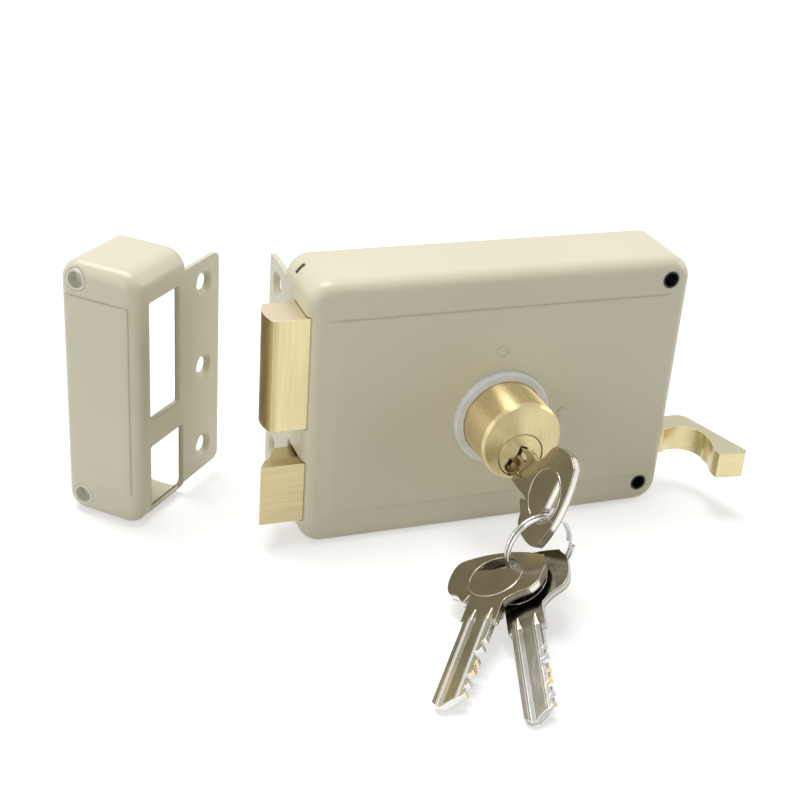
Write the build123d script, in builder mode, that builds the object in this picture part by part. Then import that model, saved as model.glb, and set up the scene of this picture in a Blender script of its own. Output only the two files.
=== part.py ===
from build123d import *

import math
import os

os.makedirs("parts", exist_ok=True)

# A rim box lock with its keeper and its three keys. All lengths are millimetres.
# The origin is the middle of the case's flat underside. X runs along the front of the
# case, Y from the viewer towards the door, and Z up.

# The case is pressed from steel sheet, and its middle stands a little proud as a panel.
sheet = 1.5
case_width = 118.0
case_height = 83.0
case_depth = 24.5
case_corner = 7.0
case_rim = 4.0
panel_raise = 0.3
panel_fade = 4.0
panel_margin = 5.0
panel_low = 10.5
panel_drop = 11.0
flange_reach = 17.0
flange_end = 6.5
flange_top_round = 1.0
flange_low_round = 2.5
flange_hole_setback = 9.0
flange_hole_end = 7.9
flange_hole_lift = 1.0
screw_hole = 5.0
screw_sink = 8.0
screw_sink_turn = 110
slit_chord = 3.4

# The clearances and overruns that every fit uses.
play = 0.3
side_play = 0.15
snug = 0.05
overrun = 1.0

# The back plate closes the case, on two studs and four corner tabs.
plate_setback = 5.55
plate_play = 0.2
stud_diameter = 4.0
stud_x = -0.7
low_stud_x = 21.3
low_stud_z = 36.2
stud_mark_raise = 0.12
stud_mark = 3.2
plate_screw = 2.4
plate_screw_head = 4.8
plate_screw_head_tall = 1.2
plate_screw_reach = 5.0

# Two sleeves carry the long screws that fix the case to the door.
sleeve_outer = 5.2
sleeve_bore = 4.2
sleeve_edge = 7.3
sleeve_low = 7.4
sleeve_top = 6.4

# The dead bolt is a brass block on a steel tail that slides along X.
bolt_low = 38.6
bolt_drop = 10.3
bolt_rear_space = 3.05
bolt_out = 9.5
bolt_nose_bulge = 1.5
bolt_inside = 25.0
bolt_throw = 9.5
tail_thick = 2.0
tail_rise = 5.4
tail_drop = 6.7
tail_seat = 16.0
tail_end = 40.0
tail_slot_lift = 0.3
tail_slot_share = 0.6545
guide_post_x = 26.0
post_head = 6.0
post_head_thick = 1.0
notch_deep = 2.2
notch_half = 2.2
rivet_diameter = 4.0
rivet_head = 6.0
rivet_head_thick = 0.6
rivet_sink = 6.0
rivet_spread_share = 0.455

# The detent lever presses on the tail's top edge from above.
lever_thick = 1.5
lever_width = 6.0
lever_pivot_x = 40.0
lever_pivot_drop = 11.0
lever_nose_x = 12.0
lever_nose = 3.0
lever_gap = 0.5
lever_air = 0.45
detent_spring_x = 22.0
detent_spring_diameter = 2.8
detent_wire = 0.4
detent_turns = 7
lug_width = 4.0
lug_thick = 1.5

# The latch bolt is brass, with a lip at its front and a bevelled nose.
latch_low = 8.4
latch_tall = 19.0
latch_out = 12.2
latch_bevel_share = 0.55
latch_lip_thick = 4.25
latch_rear_space = 1.35
latch_step_low = 2.1
latch_step_top = 2.1
latch_inside = 12.0
latch_rear_play = 0.75
bar_thick = 2.5
bar_tall = 6.0
bar_setback = 5.45
bar_lift = 8.0
bar_seat = 8.0
bar_end_setback = 7.0
bar_post = 3.0
bar_post_x = -4.0
bar_post_head = 5.2
pin_diameter = 2.5
latch_spring_diameter = 5.4
latch_wire = 0.7
latch_turns = 9
latch_spring_y = -1.0
latch_spring_z = 12.9
spring_rod = 2.4
spring_rod_hole = 3.2
spring_rod_bite = 3.0
spring_rod_hole_deep = 16.0
spring_stop_x = -24.0
spring_stop_thick = 2.0
spring_stop_half = 3.2

# The pull handle is a brass hook outside the case, on a stem that carries the bar.
handle_low = 14.8
handle_tall = 8.2
handle_gap = 0.4
handle_reach = 21.0
handle_rear = 0.65
handle_front = -27.15
foot_front = -7.8
stem_front = -6.2
stem_rear = 0.4
stem_inside = 15.0
hook_shares = (
    (0.46, 0.0),
    (0.58, 0.036),
    (0.64, 0.104),
    (1.0, 0.939),
    (0.927, 1.0),
    (0.519, 0.96),
    (0.529, 0.816),
    (0.587, 0.69),
    (0.602, 0.557),
    (0.37, 0.268),
    (0.083, 0.295),
)
hook_back_shares = ((1, 0), (0.31, -0.95))
hook_hollow_shares = ((0, 1), (0, 1))

# The key cylinder: a brass body, with its plug below its centre.
cylinder_diameter = 24.6
cylinder_x = 1.0
cylinder_z = 36.9
cylinder_out = 15.9
cylinder_gap = 0.65
cylinder_edge = 0.8
cylinder_hole = 25.0
plug_diameter = 13.6
plug_drop = 4.4
plug_edge = 0.3
keyway_turn = 19.7
keyway_wide = 2.6
keyway_top = 3.0
mouth_radius = 2.4
mouth_deep = 2.5
ring_outer = 29.8
ring_thick = 2.0
ring_edge = 0.6
nut_outer = 31.0
nut_thick = 3.0
nut_flats = 28.6
pin_wide = 2.7
chamber_wide = 2.9
pin_pitch = 4.0
pin_first = 5.0
pin_count = 5
pin_blade_gap = 0.15
driver_long = 3.4
chamber_plug_long = 1.8
pin_wire = 0.35
pin_spring_diameter = 2.5
pin_spring_turns = 4
cam_hub = 15.2
cam_thick = 2.8
cam_reach = 9.0
cam_width = 5.0
cam_screw = 2.2
cam_screw_head = 3.8
cam_screw_head_thick = 1.0
cam_screw_reach = 3.0
cam_screw_spread = 4.3

# The keys, which all share one blank.
key_thick = 2.2
tip_play = 0.62
blade_wide = 8.6
neck_long = 6.4
neck_wide = 10.4
bow_wide = 28.4
bow_long = 20.6
key_drop = 1.67
shoulder_gap = 2.67
cut_pitch = 4.0
cut_deep = 2.2
cut_flat = 1.0
cut_count = 5
cut_slope_share = 0.6
cut_shares = (0.45, 0.95, 0.3, 0.8, 0.55)
nose_long = 4.2
nose_round = 1.6
flute_wide = 2.1
flute_floor = 1.3
flute_deep = 0.5
flute_low = -1.95
flute_high = 2.9
flute_run = 1.2
flute_rise = 3.6
flute_point = 0.1
emboss_diameter = 15.9
emboss_line = 0.5
emboss_raise = 0.15
emboss_back = 9.6
slot_diameter = 14.8
slot_chord_share = 0.38
bow_shares = (
    (0.107, 0.45),
    (0.194, 0.648),
    (0.252, 0.838),
    (0.379, 0.958),
    (0.573, 1.0),
    (0.767, 0.972),
    (0.874, 0.887),
    (0.922, 0.732),
)
bow_way_shares = ((1, 0), (0.35, -1))

# The key ring, and how the three keys hang on it.
ring_wire = 1.0
ring_pitch = 1.5
ring_turns = 2
ring_radius = 10.04
ring_hang = (-3.187, -5.34, -13.578)
ring_yaw = 4.65
ring_tilt = 2.55
key_a_hang = (-14.0, -3.92, -5.15)
key_a_tip_lift = 2.72
key_a_yaw = 52.76
key_a_roll = 24.23
key_b_hang = (-7.832, -6.624, -6.116)
key_b_tip_lift = 2.62
key_b_yaw = 74.05
key_b_roll = 26.94

# The keeper, which stands apart and turned about Z.
keeper_spot = (-102.73, 7.51)
keeper_turn = -44.27
keeper_width = 26.3
keeper_height = 80.4
keeper_depth = 25.0
keeper_corner = 6.0
keeper_rim = 4.5
keeper_panel_low = 10.8
keeper_panel_high = 70.5
keeper_panel_margin = 0.6
keeper_panel_fade = 2.5
keeper_flange_reach = 18.9
keeper_flange_low = 4.5
keeper_flange_high = 74.2
keeper_flange_round = 2.5
keeper_hole_setback = 10.4
keeper_hole_low = 12.6
keeper_hole_pitch = 27.25
keeper_window_front = 6.8
keeper_window_rear = 21.9
keeper_window_low = 33.7
keeper_window_high = 70.7
keeper_latch_rear = 23.8
keeper_latch_low = 2.6
keeper_latch_high = 25.1
keeper_window_round = 0.8
cap_spot_x = -19.85
cap_spot_low = 6.3
cap_spot_high = 75.4
cap_diameter = 6.4
cap_deep = 4.0
cap_wall = 0.7

# Places that follow from the sizes.
left = -case_width / 2
right = case_width / 2
panel_face = -case_depth / 2
front_face = panel_face + panel_raise
front_inside = front_face + sheet
rear_face = case_depth / 2
plate_rear = rear_face - plate_setback
plate_front = plate_rear - sheet
bolt_front = front_inside + side_play
bolt_rear = plate_front - bolt_rear_space
bolt_nose = left - bolt_out
bolt_inner = left + bolt_inside
bolt_high = case_height - bolt_drop
tail_front = bolt_rear - tail_thick
tail_low = bolt_low + tail_rise
tail_high = bolt_high - tail_drop
tail_slot_z = tail_low + tail_slot_share * (tail_high - tail_low)
slot_half = bolt_throw + stud_diameter / 2 + play
plug_z = cylinder_z - plug_drop
cylinder_front = panel_face - cylinder_out
cylinder_rear = tail_front - cylinder_gap
plug_rear = cylinder_rear + play
plug_radius = plug_diameter / 2
bore_radius = plug_radius + snug
cylinder_radius = cylinder_diameter / 2
cylinder_top = cylinder_z + cylinder_radius
latch_high = latch_low + latch_tall
latch_nose = left - latch_out
latch_lip_rear = bolt_front + latch_lip_thick
latch_rear = plate_front - latch_rear_space
latch_inner = left + latch_inside
bar_front = bolt_front + bar_setback - side_play
bar_rear = bar_front + bar_thick
bar_low = latch_low + bar_lift
bar_high = bar_low + bar_tall
bar_middle = (bar_low + bar_high) / 2
bar_start = latch_inner - bar_seat
bar_end = right - bar_end_setback
blade_long = plug_rear - cylinder_front + shoulder_gap - tip_play
key_long = blade_long + neck_long + bow_long
slot_along = key_long - emboss_back


def span_box(x, y, z, mode=Mode.ADD):
    """Adds or cuts a box that runs from the first to the second value on each axis."""
    middle = ((x[0] + x[1]) / 2, (y[0] + y[1]) / 2, (z[0] + z[1]) / 2)
    with Locations(middle):
        Box(x[1] - x[0], y[1] - y[0], z[1] - z[0], mode=mode)


def facing(y, x=0, z=0):
    """The plane at y that faces the viewer, with its own X along X and its Y up."""
    return Plane(origin=(x, y, z), x_dir=(1, 0, 0), z_dir=(0, -1, 0))


def rods(spots, y, radius, mode=Mode.ADD):
    """Adds or cuts a round bar along Y at each (x, z) spot, between the two values of y."""
    with BuildSketch(facing(y[1])) as profile:
        with Locations(*spots):
            Circle(radius)
    extrude(profile.sketch, amount=y[1] - y[0], mode=mode)


def pressed_shell(body, front, width, height, depth, corner, rim):
    """Adds a shell to a body behind a plane: round corners and front rim, open at the back."""
    with BuildSketch(front) as profile:
        with Locations((0, height / 2)):
            RectangleRounded(width, height, corner)
    block = extrude(profile.sketch, amount=-depth)
    outward = Axis(front.origin, front.z_dir)
    fillet(block.faces().sort_by(outward)[-1].edges(), rim)
    offset(amount=-sheet, openings=body.part.faces().sort_by(outward)[0])


def raised_panel(base, left_x, right_x, front_y, fade, low, high):
    """Adds the panel's thin plate in front of y, with ends that slope away to nothing."""
    with BuildSketch(base.offset(low)) as profile:
        with BuildLine():
            Polyline(
                (left_x, front_y),
                (left_x + fade, front_y - panel_raise),
                (right_x - fade, front_y - panel_raise),
                (right_x, front_y),
                close=True,
            )
        make_face()
    extrude(profile.sketch, amount=high - low)


def back_flange(side, near, far, low, high, low_round, top_round, thick):
    """Adds a flange along a wall: a plate on a plane whose X runs back and whose Y is up."""
    with BuildSketch(side) as profile:
        with BuildLine():
            Polyline((near, low), (far, low), (far, high), (near, high), close=True)
        make_face()
        fillet(profile.vertices().group_by(Axis.X)[-1].sort_by(Axis.Y)[0], low_round)
        fillet(profile.vertices().group_by(Axis.X)[-1].sort_by(Axis.Y)[-1], top_round)
    extrude(profile.sketch, amount=thick)


def wire_coil(base, radius, wire, pitch, turns):
    """Adds a coil of round wire about a plane's Z, on two tangent arcs to each quarter turn."""

    def spot(quarter):
        angle = quarter * math.tau / 4
        ring = Vector(radius * math.cos(angle), radius * math.sin(angle), pitch * quarter / 4)
        run = Vector(-radius * math.sin(angle), radius * math.cos(angle), pitch / math.tau)
        place = base.from_local_coords(ring)
        return place, (base.from_local_coords(ring + run) - place).normalized()

    with BuildLine() as route:
        for quarter in range(4 * turns):
            start, start_run = spot(quarter)
            end, end_run = spot(quarter + 1)
            step = end - start
            both = start_run + end_run
            bend = 2 * (1 - start_run.dot(end_run))
            lean = step.dot(both)
            reach = (math.sqrt(lean * lean + bend * step.dot(step)) - lean) / bend
            first = start + start_run * reach
            second = end - end_run * reach
            middle = (first + second) * 0.5
            TangentArc(start, middle, tangent=start_run)
            TangentArc(middle, end, tangent=(second - first).normalized())
    with BuildSketch(Plane(origin=route.line @ 0, z_dir=route.line % 0)) as section:
        Circle(wire / 2)
    sweep(section.sketch, path=route.line)


def corner_places():
    """The turn about Y and the centre of each of the case's four rounded corners."""
    reach_x = right - case_corner
    return (
        (-45, reach_x, case_height - case_corner),
        (-135, -reach_x, case_height - case_corner),
        (45, reach_x, case_corner),
        (135, -reach_x, case_corner),
    )


def corner_blocks(near, far, y, chord, mode=Mode.ADD):
    """Adds or cuts a block through each rounded corner, from one radius to the other."""
    for turn, x, z in corner_places():
        with Locations(Location((x, (y[0] + y[1]) / 2, z), (0, turn, 0))):
            with Locations(((near + far) / 2, 0, 0)):
                Box(far - near, y[1] - y[0], chord, mode=mode)


def cut_edge():
    """The cut edge of a key from shoulder to nose, as (along, across) points."""
    high = blade_wide / 2
    points = [(blade_long, high)]
    for index in range(cut_count):
        middle = blade_long - pin_first - shoulder_gap - index * cut_pitch
        deep = cut_deep * cut_shares[index % len(cut_shares)]
        slope = deep * cut_slope_share
        points.append((middle + cut_flat / 2 + slope, high))
        points.append((middle + cut_flat / 2, high - deep))
        points.append((middle - cut_flat / 2, high - deep))
        points.append((middle - cut_flat / 2 - slope, high))
    return points


def flute(face, across):
    """Cuts one groove into a key's face: straight along the blade, then rising to a point."""

    def section(along, wide, floor, deep):
        place = face.from_local_coords(Vector(along, across, 0))
        with BuildSketch(Plane(origin=place, x_dir=face.y_dir, z_dir=face.x_dir)) as profile:
            with BuildLine():
                Polyline(
                    (-wide / 2, overrun),
                    (-wide / 2, 0),
                    (-floor / 2, -deep),
                    (floor / 2, -deep),
                    (wide / 2, 0),
                    (wide / 2, overrun),
                    close=True,
                )
            make_face()
        return profile.sketch

    ramp = blade_long + flute_run
    whole = section(-overrun, flute_wide, flute_floor, flute_deep)
    extrude(whole, amount=ramp + overrun, mode=Mode.SUBTRACT)
    start = section(ramp, flute_wide, flute_floor, flute_deep)
    point_share = flute_point / flute_wide
    end = section(
        ramp + flute_rise, flute_point, flute_floor * point_share, flute_deep * point_share
    )
    loft([start, end], ruled=True, mode=Mode.SUBTRACT)


def cut_key(base):
    """Adds one key on a plane: its X runs from tip to bow, and its Y to the cut edge."""
    high = blade_wide / 2
    neck_end = blade_long + neck_long
    bow = [(neck_end + u * bow_long, v * bow_wide / 2) for u, v in bow_shares]
    bow.insert(0, (neck_end, neck_wide / 2))
    under = [(u, -v) for u, v in bow]
    with BuildSketch(base) as blank:
        with BuildLine():
            Polyline(
                (blade_long, -neck_wide / 2),
                (blade_long, -high),
                (nose_round, -high),
                (0, -high + nose_round),
                (0, -high + 2 * nose_round),
                (nose_long, high),
                *reversed(cut_edge()),
                (blade_long, neck_wide / 2),
            )
            Line((blade_long, neck_wide / 2), bow[0])
            Spline(*bow, tangents=bow_way_shares)
            ThreePointArc(bow[-1], (key_long, 0), under[-1])
            Spline(*reversed(under), tangents=[(-u, v) for u, v in reversed(bow_way_shares)])
            Line(under[0], (blade_long, -neck_wide / 2))
        make_face()
    extrude(blank.sketch, amount=key_thick / 2, both=True)
    chord = slot_along + slot_chord_share * slot_diameter / 2
    with BuildSketch(base) as ring_slot:
        with Locations((slot_along, 0)):
            Circle(slot_diameter / 2)
        with Locations((chord + slot_diameter / 2, 0)):
            Rectangle(slot_diameter, slot_diameter, mode=Mode.INTERSECT)
    extrude(ring_slot.sketch, amount=key_thick, both=True, mode=Mode.SUBTRACT)
    for side in (1, -1):
        face = base.offset(side * key_thick / 2)
        with BuildSketch(face) as emboss:
            with Locations((slot_along, 0)):
                Circle(emboss_diameter / 2)
                Circle(emboss_diameter / 2 - emboss_line, mode=Mode.SUBTRACT)
        extrude(emboss.sketch, amount=side * emboss_raise)
        outward = Plane(origin=face.origin, x_dir=face.x_dir, z_dir=face.z_dir * side)
        for across in (flute_low, flute_high):
            flute(outward, side * across)


def hanging_key(slot_place, tip_lift, yaw, roll):
    """The plane of a loose key: its slot hangs on the ring, and its tip rests on the floor."""
    yaw, roll = math.radians(yaw), math.radians(roll)
    rise = math.asin((slot_place.Z - tip_lift) / slot_along)
    along = Vector(math.cos(yaw) * math.cos(rise), math.sin(yaw) * math.cos(rise), math.sin(rise))
    level = Vector(math.sin(yaw), -math.cos(yaw), 0)
    across = level * math.cos(roll) + level.cross(along) * math.sin(roll)
    tip = slot_place - along * slot_along
    return Plane(origin=tip, x_dir=along, z_dir=along.cross(across))


# Case shell
bolt_window = ((left - overrun, left + case_rim), (front_inside, bolt_rear + play))
latch_window = ((left - overrun, left + case_rim), (front_inside, latch_rear + latch_rear_play))
sleeve_spots = ((right - sleeve_edge, sleeve_low), (right - sleeve_edge, case_height - sleeve_top))
stud_spots = ((stud_x, tail_slot_z), (low_stud_x, low_stud_z))
panel_ends = right - panel_margin
flange_high = case_height - flange_end
flange_middle = case_height / 2 + flange_hole_lift
flange_hole_pitch = case_height / 2 - flange_end - flange_hole_end
flange_holes = [
    (rear_face + flange_hole_setback, flange_middle + step * flange_hole_pitch)
    for step in (-1, 0, 1)
]
with BuildPart() as case_shell:
    pressed_shell(
        case_shell,
        facing(front_face),
        case_width,
        case_height,
        rear_face - front_face,
        case_corner,
        case_rim,
    )
    panel_high = case_height - panel_drop
    raised_panel(
        Plane.XY, -panel_ends, panel_ends, front_face, panel_fade, panel_low, panel_high
    )
    rods(stud_spots, (panel_face - stud_mark_raise, front_face), stud_mark / 2)
    flange_side = Plane(origin=(left, 0, 0), x_dir=(0, 1, 0), z_dir=(1, 0, 0))
    back_flange(
        flange_side,
        rear_face - overrun,
        rear_face + flange_reach,
        flange_end,
        flange_high,
        flange_low_round,
        flange_top_round,
        sheet,
    )
    with Locations(*[Plane(origin=(left, y, z), z_dir=(-1, 0, 0)) for y, z in flange_holes]):
        CounterSinkHole(
            screw_hole / 2,
            screw_sink / 2,
            depth=sheet + overrun,
            counter_sink_angle=screw_sink_turn,
        )
    span_box(*bolt_window, (bolt_low - play, bolt_high + play), Mode.SUBTRACT)
    span_box(*latch_window, (latch_low - play, latch_high + play), Mode.SUBTRACT)
    span_box(
        (right - sheet - overrun, right + overrun),
        (stem_front - play, stem_rear + play),
        (handle_low - play, handle_low + handle_tall + play),
        Mode.SUBTRACT,
    )
    through_front = (panel_face - overrun, front_inside + overrun)
    rods([(cylinder_x, cylinder_z)], through_front, cylinder_hole / 2, Mode.SUBTRACT)
    rods(sleeve_spots, through_front, sleeve_outer / 2 + snug, Mode.SUBTRACT)
    slit = (plate_front - plate_play / 2, plate_rear + plate_play / 2)
    corner_blocks(
        case_corner - sheet - overrun, case_corner + overrun, slit, slit_chord, Mode.SUBTRACT
    )
case_shell.part.label = "case_shell"

# Back plate
plate_edge = sheet + plate_play
spring_lug_low = case_height - plate_edge - lug_thick
with BuildPart() as back_plate:
    with BuildSketch(facing(plate_rear, z=plate_edge)):
        with Locations((0, case_height / 2 - plate_edge)):
            RectangleRounded(
                case_width - 2 * plate_edge, case_height - 2 * plate_edge, case_corner - plate_edge
            )
    extrude(amount=sheet)
    corner_blocks(
        case_corner - 2 * sheet,
        case_corner - plate_play,
        (plate_front, plate_rear),
        slit_chord - 2 * plate_play,
    )
    span_box(
        (detent_spring_x - lug_width / 2, detent_spring_x + lug_width / 2),
        (bolt_rear - play, plate_front),
        (spring_lug_low, spring_lug_low + lug_thick),
    )
    plate_through = (plate_front - overrun, plate_rear + overrun)
    rods(sleeve_spots, plate_through, sleeve_bore / 2, Mode.SUBTRACT)
    rods(stud_spots, plate_through, plate_screw / 2 + snug, Mode.SUBTRACT)
back_plate.part.label = "back_plate"

# Studs that join the front to the back plate; the upper one also guides the tail.
with BuildPart() as plate_studs:
    rods(stud_spots, (front_inside, plate_front), stud_diameter / 2)
    rods(
        stud_spots,
        (plate_front - plate_screw_reach - snug, plate_front),
        plate_screw / 2 + snug,
        Mode.SUBTRACT,
    )
plate_studs.part.label = "plate_studs"

# Screws that hold the back plate on its studs
with BuildPart() as plate_screws:
    rods(stud_spots, (plate_front - plate_screw_reach, plate_rear), plate_screw / 2)
    rods(stud_spots, (plate_rear, plate_rear + plate_screw_head_tall), plate_screw_head / 2)
plate_screws.part.label = "plate_screws"

# Sleeves for the door screws
with BuildPart() as fixing_sleeves:
    rods(sleeve_spots, (front_face, plate_front), sleeve_outer / 2)
    rods(
        sleeve_spots, (front_face - overrun, plate_front + overrun), sleeve_bore / 2, Mode.SUBTRACT
    )
fixing_sleeves.part.label = "fixing_sleeves"

# Dead bolt
rivet_spread = rivet_spread_share * (tail_high - tail_low)
rivet_spots = [
    (bolt_inner - tail_seat / 2, (tail_low + tail_high) / 2 + side * rivet_spread / 2)
    for side in (-1, 1)
]
with BuildPart() as deadbolt:
    with BuildSketch(Plane.XY.offset(bolt_low)):
        with BuildLine():
            nose = ThreePointArc(
                (bolt_nose, bolt_front),
                (bolt_nose - bolt_nose_bulge, (bolt_front + bolt_rear) / 2),
                (bolt_nose, bolt_rear),
            )
            Polyline(nose @ 1, (bolt_inner, bolt_rear), (bolt_inner, bolt_front), nose @ 0)
        make_face()
    extrude(amount=bolt_high - bolt_low)
    span_box(
        (bolt_inner - tail_seat, bolt_inner + overrun),
        (tail_front, bolt_rear + overrun),
        (tail_low, tail_high),
        Mode.SUBTRACT,
    )
    rods(
        rivet_spots,
        (tail_front - rivet_sink, bolt_rear),
        rivet_diameter / 2 + snug,
        Mode.SUBTRACT,
    )
deadbolt.part.label = "deadbolt"

# Tail of the dead bolt: two slots round the posts and three notches for the detent.
tail_slots = [(stud_x, tail_slot_z), (guide_post_x, tail_slot_z)]
with BuildPart() as deadbolt_tail:
    span_box(
        (bolt_inner - tail_seat + snug, tail_end),
        (tail_front, bolt_rear),
        (tail_low + snug, tail_high - snug),
    )
    with BuildSketch(facing(bolt_rear + overrun)):
        with Locations(*tail_slots):
            SlotOverall(2 * slot_half, stud_diameter + 2 * tail_slot_lift)
        for step in (-1, 0, 1):
            with BuildLine():
                notch_x = lever_nose_x + step * bolt_throw
                Polyline(
                    (notch_x - notch_half, tail_high),
                    (notch_x, tail_high - notch_deep),
                    (notch_x + notch_half, tail_high),
                    close=True,
                )
            make_face()
    extrude(amount=tail_thick + 2 * overrun, mode=Mode.SUBTRACT)
    rods(
        rivet_spots,
        (tail_front - overrun, bolt_rear + overrun),
        rivet_diameter / 2 + snug,
        Mode.SUBTRACT,
    )
deadbolt_tail.part.label = "deadbolt_tail"

# Rivets that join block and tail
with BuildPart() as tail_rivets:
    rods(rivet_spots, (tail_front - rivet_sink + snug, bolt_rear), rivet_diameter / 2)
    rods(rivet_spots, (bolt_rear, bolt_rear + rivet_head_thick), rivet_head / 2)
tail_rivets.part.label = "tail_rivets"

# Guide post at the tail's far end
guide_spot = [(guide_post_x, tail_slot_z)]
with BuildPart() as guide_post:
    post_neck = tail_front - play
    rods(guide_spot, (post_neck, plate_front), stud_diameter / 2)
    rods(guide_spot, (post_neck - post_head_thick, post_neck), post_head / 2)
guide_post.part.label = "guide_post"

# Detent lever and what carries it
lever_pivot_z = case_height - lever_pivot_drop
lever_nose_z = tail_high + lever_gap + lever_nose / 2
lever_front = bolt_rear + lever_air
lever_rear = lever_front + lever_thick
with BuildPart() as detent_lever:
    with BuildSketch(facing(lever_rear)):
        SlotCenterPoint(
            ((lever_nose_x + lever_pivot_x) / 2, (lever_nose_z + lever_pivot_z) / 2),
            (lever_pivot_x, lever_pivot_z),
            lever_width,
        )
    extrude(amount=lever_thick)
    rods([(lever_nose_x, lever_nose_z)], (tail_front + play, lever_front), lever_nose / 2)
    rods(
        [(lever_pivot_x, lever_pivot_z)],
        (lever_front - overrun, lever_rear + overrun),
        stud_diameter / 2 + snug,
        Mode.SUBTRACT,
    )
detent_lever.part.label = "detent_lever"

with BuildPart() as detent_pivot:
    pivot_neck = lever_front - play
    rods([(lever_pivot_x, lever_pivot_z)], (pivot_neck, plate_front), stud_diameter / 2)
    rods(
        [(lever_pivot_x, lever_pivot_z)], (pivot_neck - post_head_thick, pivot_neck), post_head / 2
    )
detent_pivot.part.label = "detent_pivot"

lever_rise = (lever_pivot_z - lever_nose_z) / (lever_pivot_x - lever_nose_x)
lever_top = (
    lever_nose_z
    + (detent_spring_x - lever_nose_x) * lever_rise
    + lever_width / 2 * math.hypot(1, lever_rise)
)
detent_low = lever_top + detent_wire / 2 + play
detent_pitch = (spring_lug_low - detent_low - detent_wire / 2 - snug) / detent_turns
with BuildPart() as detent_spring:
    wire_coil(
        Plane(origin=(detent_spring_x, (lever_front + lever_rear) / 2, detent_low)),
        (detent_spring_diameter - detent_wire) / 2,
        detent_wire,
        detent_pitch,
        detent_turns,
    )
detent_spring.part.label = "detent_spring"

# Latch bolt
lip_rear_nose = latch_nose + latch_bevel_share * latch_lip_thick
body_rear_nose = lip_rear_nose + latch_bevel_share * (latch_rear - latch_lip_rear)
latch_pin_spot = [(latch_inner - bar_seat / 2, bar_middle)]
with BuildPart() as latch_bolt:
    with BuildSketch(Plane.XY.offset(latch_low)):
        with BuildLine():
            Polyline(
                (latch_nose, bolt_front),
                (latch_inner, bolt_front),
                (latch_inner, latch_lip_rear),
                (lip_rear_nose, latch_lip_rear),
                close=True,
            )
        make_face()
    extrude(amount=latch_tall)
    with BuildSketch(Plane.XY.offset(latch_low + latch_step_low)):
        with BuildLine():
            Polyline(
                (lip_rear_nose, latch_lip_rear),
                (latch_inner, latch_lip_rear),
                (latch_inner, latch_rear),
                (body_rear_nose, latch_rear),
                close=True,
            )
        make_face()
    extrude(amount=latch_tall - latch_step_low - latch_step_top)
    span_box(
        (bar_start - snug, latch_inner + overrun),
        (bar_front - snug, bar_rear + snug),
        (bar_low - snug, bar_high + snug),
        Mode.SUBTRACT,
    )
    rods(
        latch_pin_spot,
        (latch_lip_rear - latch_lip_thick / 2, latch_rear),
        pin_diameter / 2 + snug,
        Mode.SUBTRACT,
    )
    with BuildSketch(Plane(origin=(latch_inner, latch_spring_y, latch_spring_z), z_dir=(-1, 0, 0))):
        Circle(spring_rod_hole / 2)
    extrude(amount=spring_rod_hole_deep, mode=Mode.SUBTRACT)
latch_bolt.part.label = "latch_bolt"

# Draw bar from the latch bolt to the handle
bar_post_half = bar_post / 2 + play
with BuildPart() as latch_bar:
    span_box((bar_start, bar_end), (bar_front, bar_rear), (bar_low, bar_high))
    span_box(
        (bar_post_x - latch_out - bar_post_half, bar_post_x + bar_post_half),
        (bar_front - overrun, bar_rear + overrun),
        (bar_middle - bar_post_half, bar_middle + bar_post_half),
        Mode.SUBTRACT,
    )
    handle_pin_spot = [((right - stem_inside + bar_end) / 2, bar_middle)]
    rods(
        latch_pin_spot + handle_pin_spot,
        (bar_front - overrun, bar_rear + overrun),
        pin_diameter / 2 + snug,
        Mode.SUBTRACT,
    )
latch_bar.part.label = "latch_bar"

with BuildPart() as latch_rivet:
    rods(
        latch_pin_spot,
        (latch_lip_rear - latch_lip_thick / 2 + snug, latch_rear),
        pin_diameter / 2,
    )
latch_rivet.part.label = "latch_rivet"

with BuildPart() as handle_rivet:
    rods(handle_pin_spot, (stem_front, stem_rear), pin_diameter / 2)
handle_rivet.part.label = "handle_rivet"

with BuildPart() as latch_guide_post:
    bar_neck = bar_front - play
    rods([(bar_post_x, bar_middle)], (bar_neck, plate_front), bar_post / 2)
    rods(
        [(bar_post_x, bar_middle)], (bar_neck - post_head_thick, bar_neck), bar_post_head / 2
    )
latch_guide_post.part.label = "latch_guide_post"

# Latch spring, the rod inside it and the bracket that it pushes on
latch_coil_start = latch_inner + latch_wire / 2 + snug
latch_pitch = (spring_stop_x - latch_coil_start - latch_wire / 2 - snug) / latch_turns
with BuildPart() as latch_spring:
    wire_coil(
        Plane(origin=(latch_coil_start, latch_spring_y, latch_spring_z), z_dir=(1, 0, 0)),
        (latch_spring_diameter - latch_wire) / 2,
        latch_wire,
        latch_pitch,
        latch_turns,
    )
latch_spring.part.label = "latch_spring"

with BuildPart() as spring_stop:
    span_box(
        (spring_stop_x, spring_stop_x + spring_stop_thick),
        (latch_spring_y - spring_stop_half, plate_front),
        (latch_spring_z - spring_stop_half, latch_spring_z + spring_stop_half),
    )
    with BuildSketch(
        Plane(origin=(spring_stop_x, latch_spring_y, latch_spring_z), z_dir=(-1, 0, 0))
    ):
        Circle(spring_rod / 2)
    extrude(amount=spring_stop_x - latch_inner + spring_rod_bite)
spring_stop.part.label = "spring_stop"

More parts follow.
